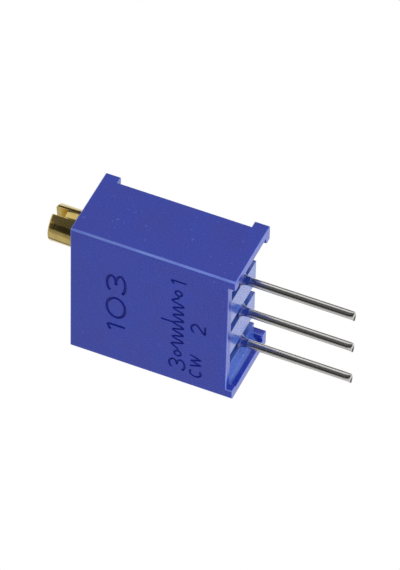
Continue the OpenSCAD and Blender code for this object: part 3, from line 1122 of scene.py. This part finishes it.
def grey_card(name, direction, distance, size, centre, grey):
    """A card darker than the world that only reflections see: round metal shows it as a band."""
    card = new_object(name, plane_mesh(name, 1.0))
    card.data.transform(
        facing(direction, distance, centre) @ Matrix.Diagonal((*size, 1.0, 1.0))
    )
    material = bpy.data.materials.new(name)
    tree = new_nodes(material)
    tone = add(tree, "ShaderNodeEmission", {"Color": (1, 1, 1, 1), "Strength": grey})
    add(tree, "ShaderNodeOutputMaterial", {"Surface": tone.outputs[0]})
    card.data.materials.append(material)
    hide(card, "camera", "diffuse", "shadow", "transmission")


def set_lamps(level, centre):
    """Four broad lamps round the part, which light its sides about evenly."""
    for name, direction, watts in (
        ("key", (0.69, -0.68, -0.22), 0.45),
        ("top", (-0.05, 0.10, 0.99), 0.35),
        ("under", (0.10, -0.10, -0.99), 0.52),
        ("back", (-0.66, 0.70, 0.25), 0.35),
    ):
        soft_lamp(name, direction, distance=0.25, size=0.12, watts=watts * level, centre=centre)


def set_cards(centre):
    """The grey cards. Each has its turn and half its width in degrees, its rise and its level."""
    reach = 0.30
    for name, azimuth, spread, rise, grey in (
        ("card_far_left", -143.5, 22.5, 0.275, 0.72),
        ("card_left", -109.5, 12.5, 0.10, 0.45),
        ("card_middle", -77.0, 21.0, 0.0, 0.03),
        ("card_front", -24.5, 32.0, 0.0, 0.115),
        ("card_side", 69.0, 18.0, 0.0, 0.05),
        ("card_back", 184.0, 8.0, 0.0, 0.20),
    ):
        turn, width = math.radians(azimuth), 2 * reach * math.tan(math.radians(spread))
        away = (math.cos(turn), math.sin(turn), rise)
        grey_card(name, away, reach, (width, 2 * reach * (1 - rise)), centre, grey)
    grey_card("card_under", (0.0, 0.0, -1.0), reach, (0.22, 0.22), centre, grey=0.10)


def set_camera(distance, frame_width, centre):
    """A long lens that looks at the part from below its right front corner, slightly rolled."""
    to_camera = Vector((0.7265, -0.6341, -0.2648)).normalized()
    roll, aim_right, aim_up = math.radians(1.46), 0.00080, 0.00038
    level = Vector((1.0, 0.0, 0.0)).cross(to_camera).normalized()
    upright = to_camera.cross(level)
    right = math.cos(roll) * level + math.sin(roll) * upright
    up = math.cos(roll) * upright - math.sin(roll) * level
    target = centre + aim_right * right + aim_up * up
    data = bpy.data.cameras.new("camera")
    data.sensor_fit = "HORIZONTAL"
    data.lens = data.sensor_width * distance / frame_width
    data.clip_start = 0.001
    data.clip_end = 10.0
    camera = new_object("camera", data)
    axes = Matrix((right, up, to_camera)).transposed().to_4x4()
    camera.matrix_world = Matrix.Translation(target + to_camera * distance) @ axes
    bpy.context.scene.camera = camera


class TRIMMER_OT_stage(bpy.types.Operator):
    """Set the floor, the soft light and the camera"""

    bl_idname = "trimmer.stage"
    bl_label = "Stage"

    def execute(self, context):
        given = context.scene.trimmer_stage
        centre = Vector((0.0, 0.0, 4.0)) * MM
        clearance = 0.00001
        floor = new_object("floor", plane_mesh("floor", given.floor_size))
        floor.data.transform(Matrix.Translation((0, 0, PIN_LOW.z - clearance)))
        floor.data.materials.append(floor_material(given.floor_colour))
        hide(floor, "shadow", "glossy")
        plain_world(given.fill)
        set_lamps(given.key, centre)
        set_cards(centre)
        set_camera(given.camera_distance, given.frame_width, centre)
        context.scene.view_settings.view_transform = "Standard"
        return {"FINISHED"}


# ---- add-on ----


class TRIMMER_PT_panel(bpy.types.Panel):
    """Lists the pieces in the sidebar"""

    bl_label = "Trimmer"
    bl_idname = "TRIMMER_PT_panel"
    bl_space_type = "VIEW_3D"
    bl_region_type = "UI"
    bl_category = "Trimmer"

    def draw(self, context):
        for operator in OPERATORS:
            self.layout.operator(operator.bl_idname)
        for name, group in SETTINGS.items():
            box = self.layout.box()
            for key in group.__annotations__:
                box.prop(getattr(context.scene, name), key)


OPERATORS = (
    TRIMMER_OT_case,
    TRIMMER_OT_base,
    TRIMMER_OT_screw,
    TRIMMER_OT_pins,
    TRIMMER_OT_element,
    TRIMMER_OT_wiper,
    TRIMMER_OT_stage,
)


def register():
    for each in (*SETTINGS.values(), *OPERATORS, TRIMMER_PT_panel):
        bpy.utils.register_class(each)
    for name, group in SETTINGS.items():
        setattr(bpy.types.Scene, name, PointerProperty(type=group))


def unregister():
    for name in SETTINGS:
        delattr(bpy.types.Scene, name)
    for each in (TRIMMER_PT_panel, *reversed(OPERATORS), *reversed(list(SETTINGS.values()))):
        bpy.utils.unregister_class(each)


def main():
    register()
    bpy.ops.trimmer.case()
    bpy.ops.trimmer.base()
    bpy.ops.trimmer.screw()
    bpy.ops.trimmer.pins()
    bpy.ops.trimmer.element()
    bpy.ops.trimmer.wiper()
    bpy.ops.trimmer.stage()


if __name__ == "__main__":
    main()
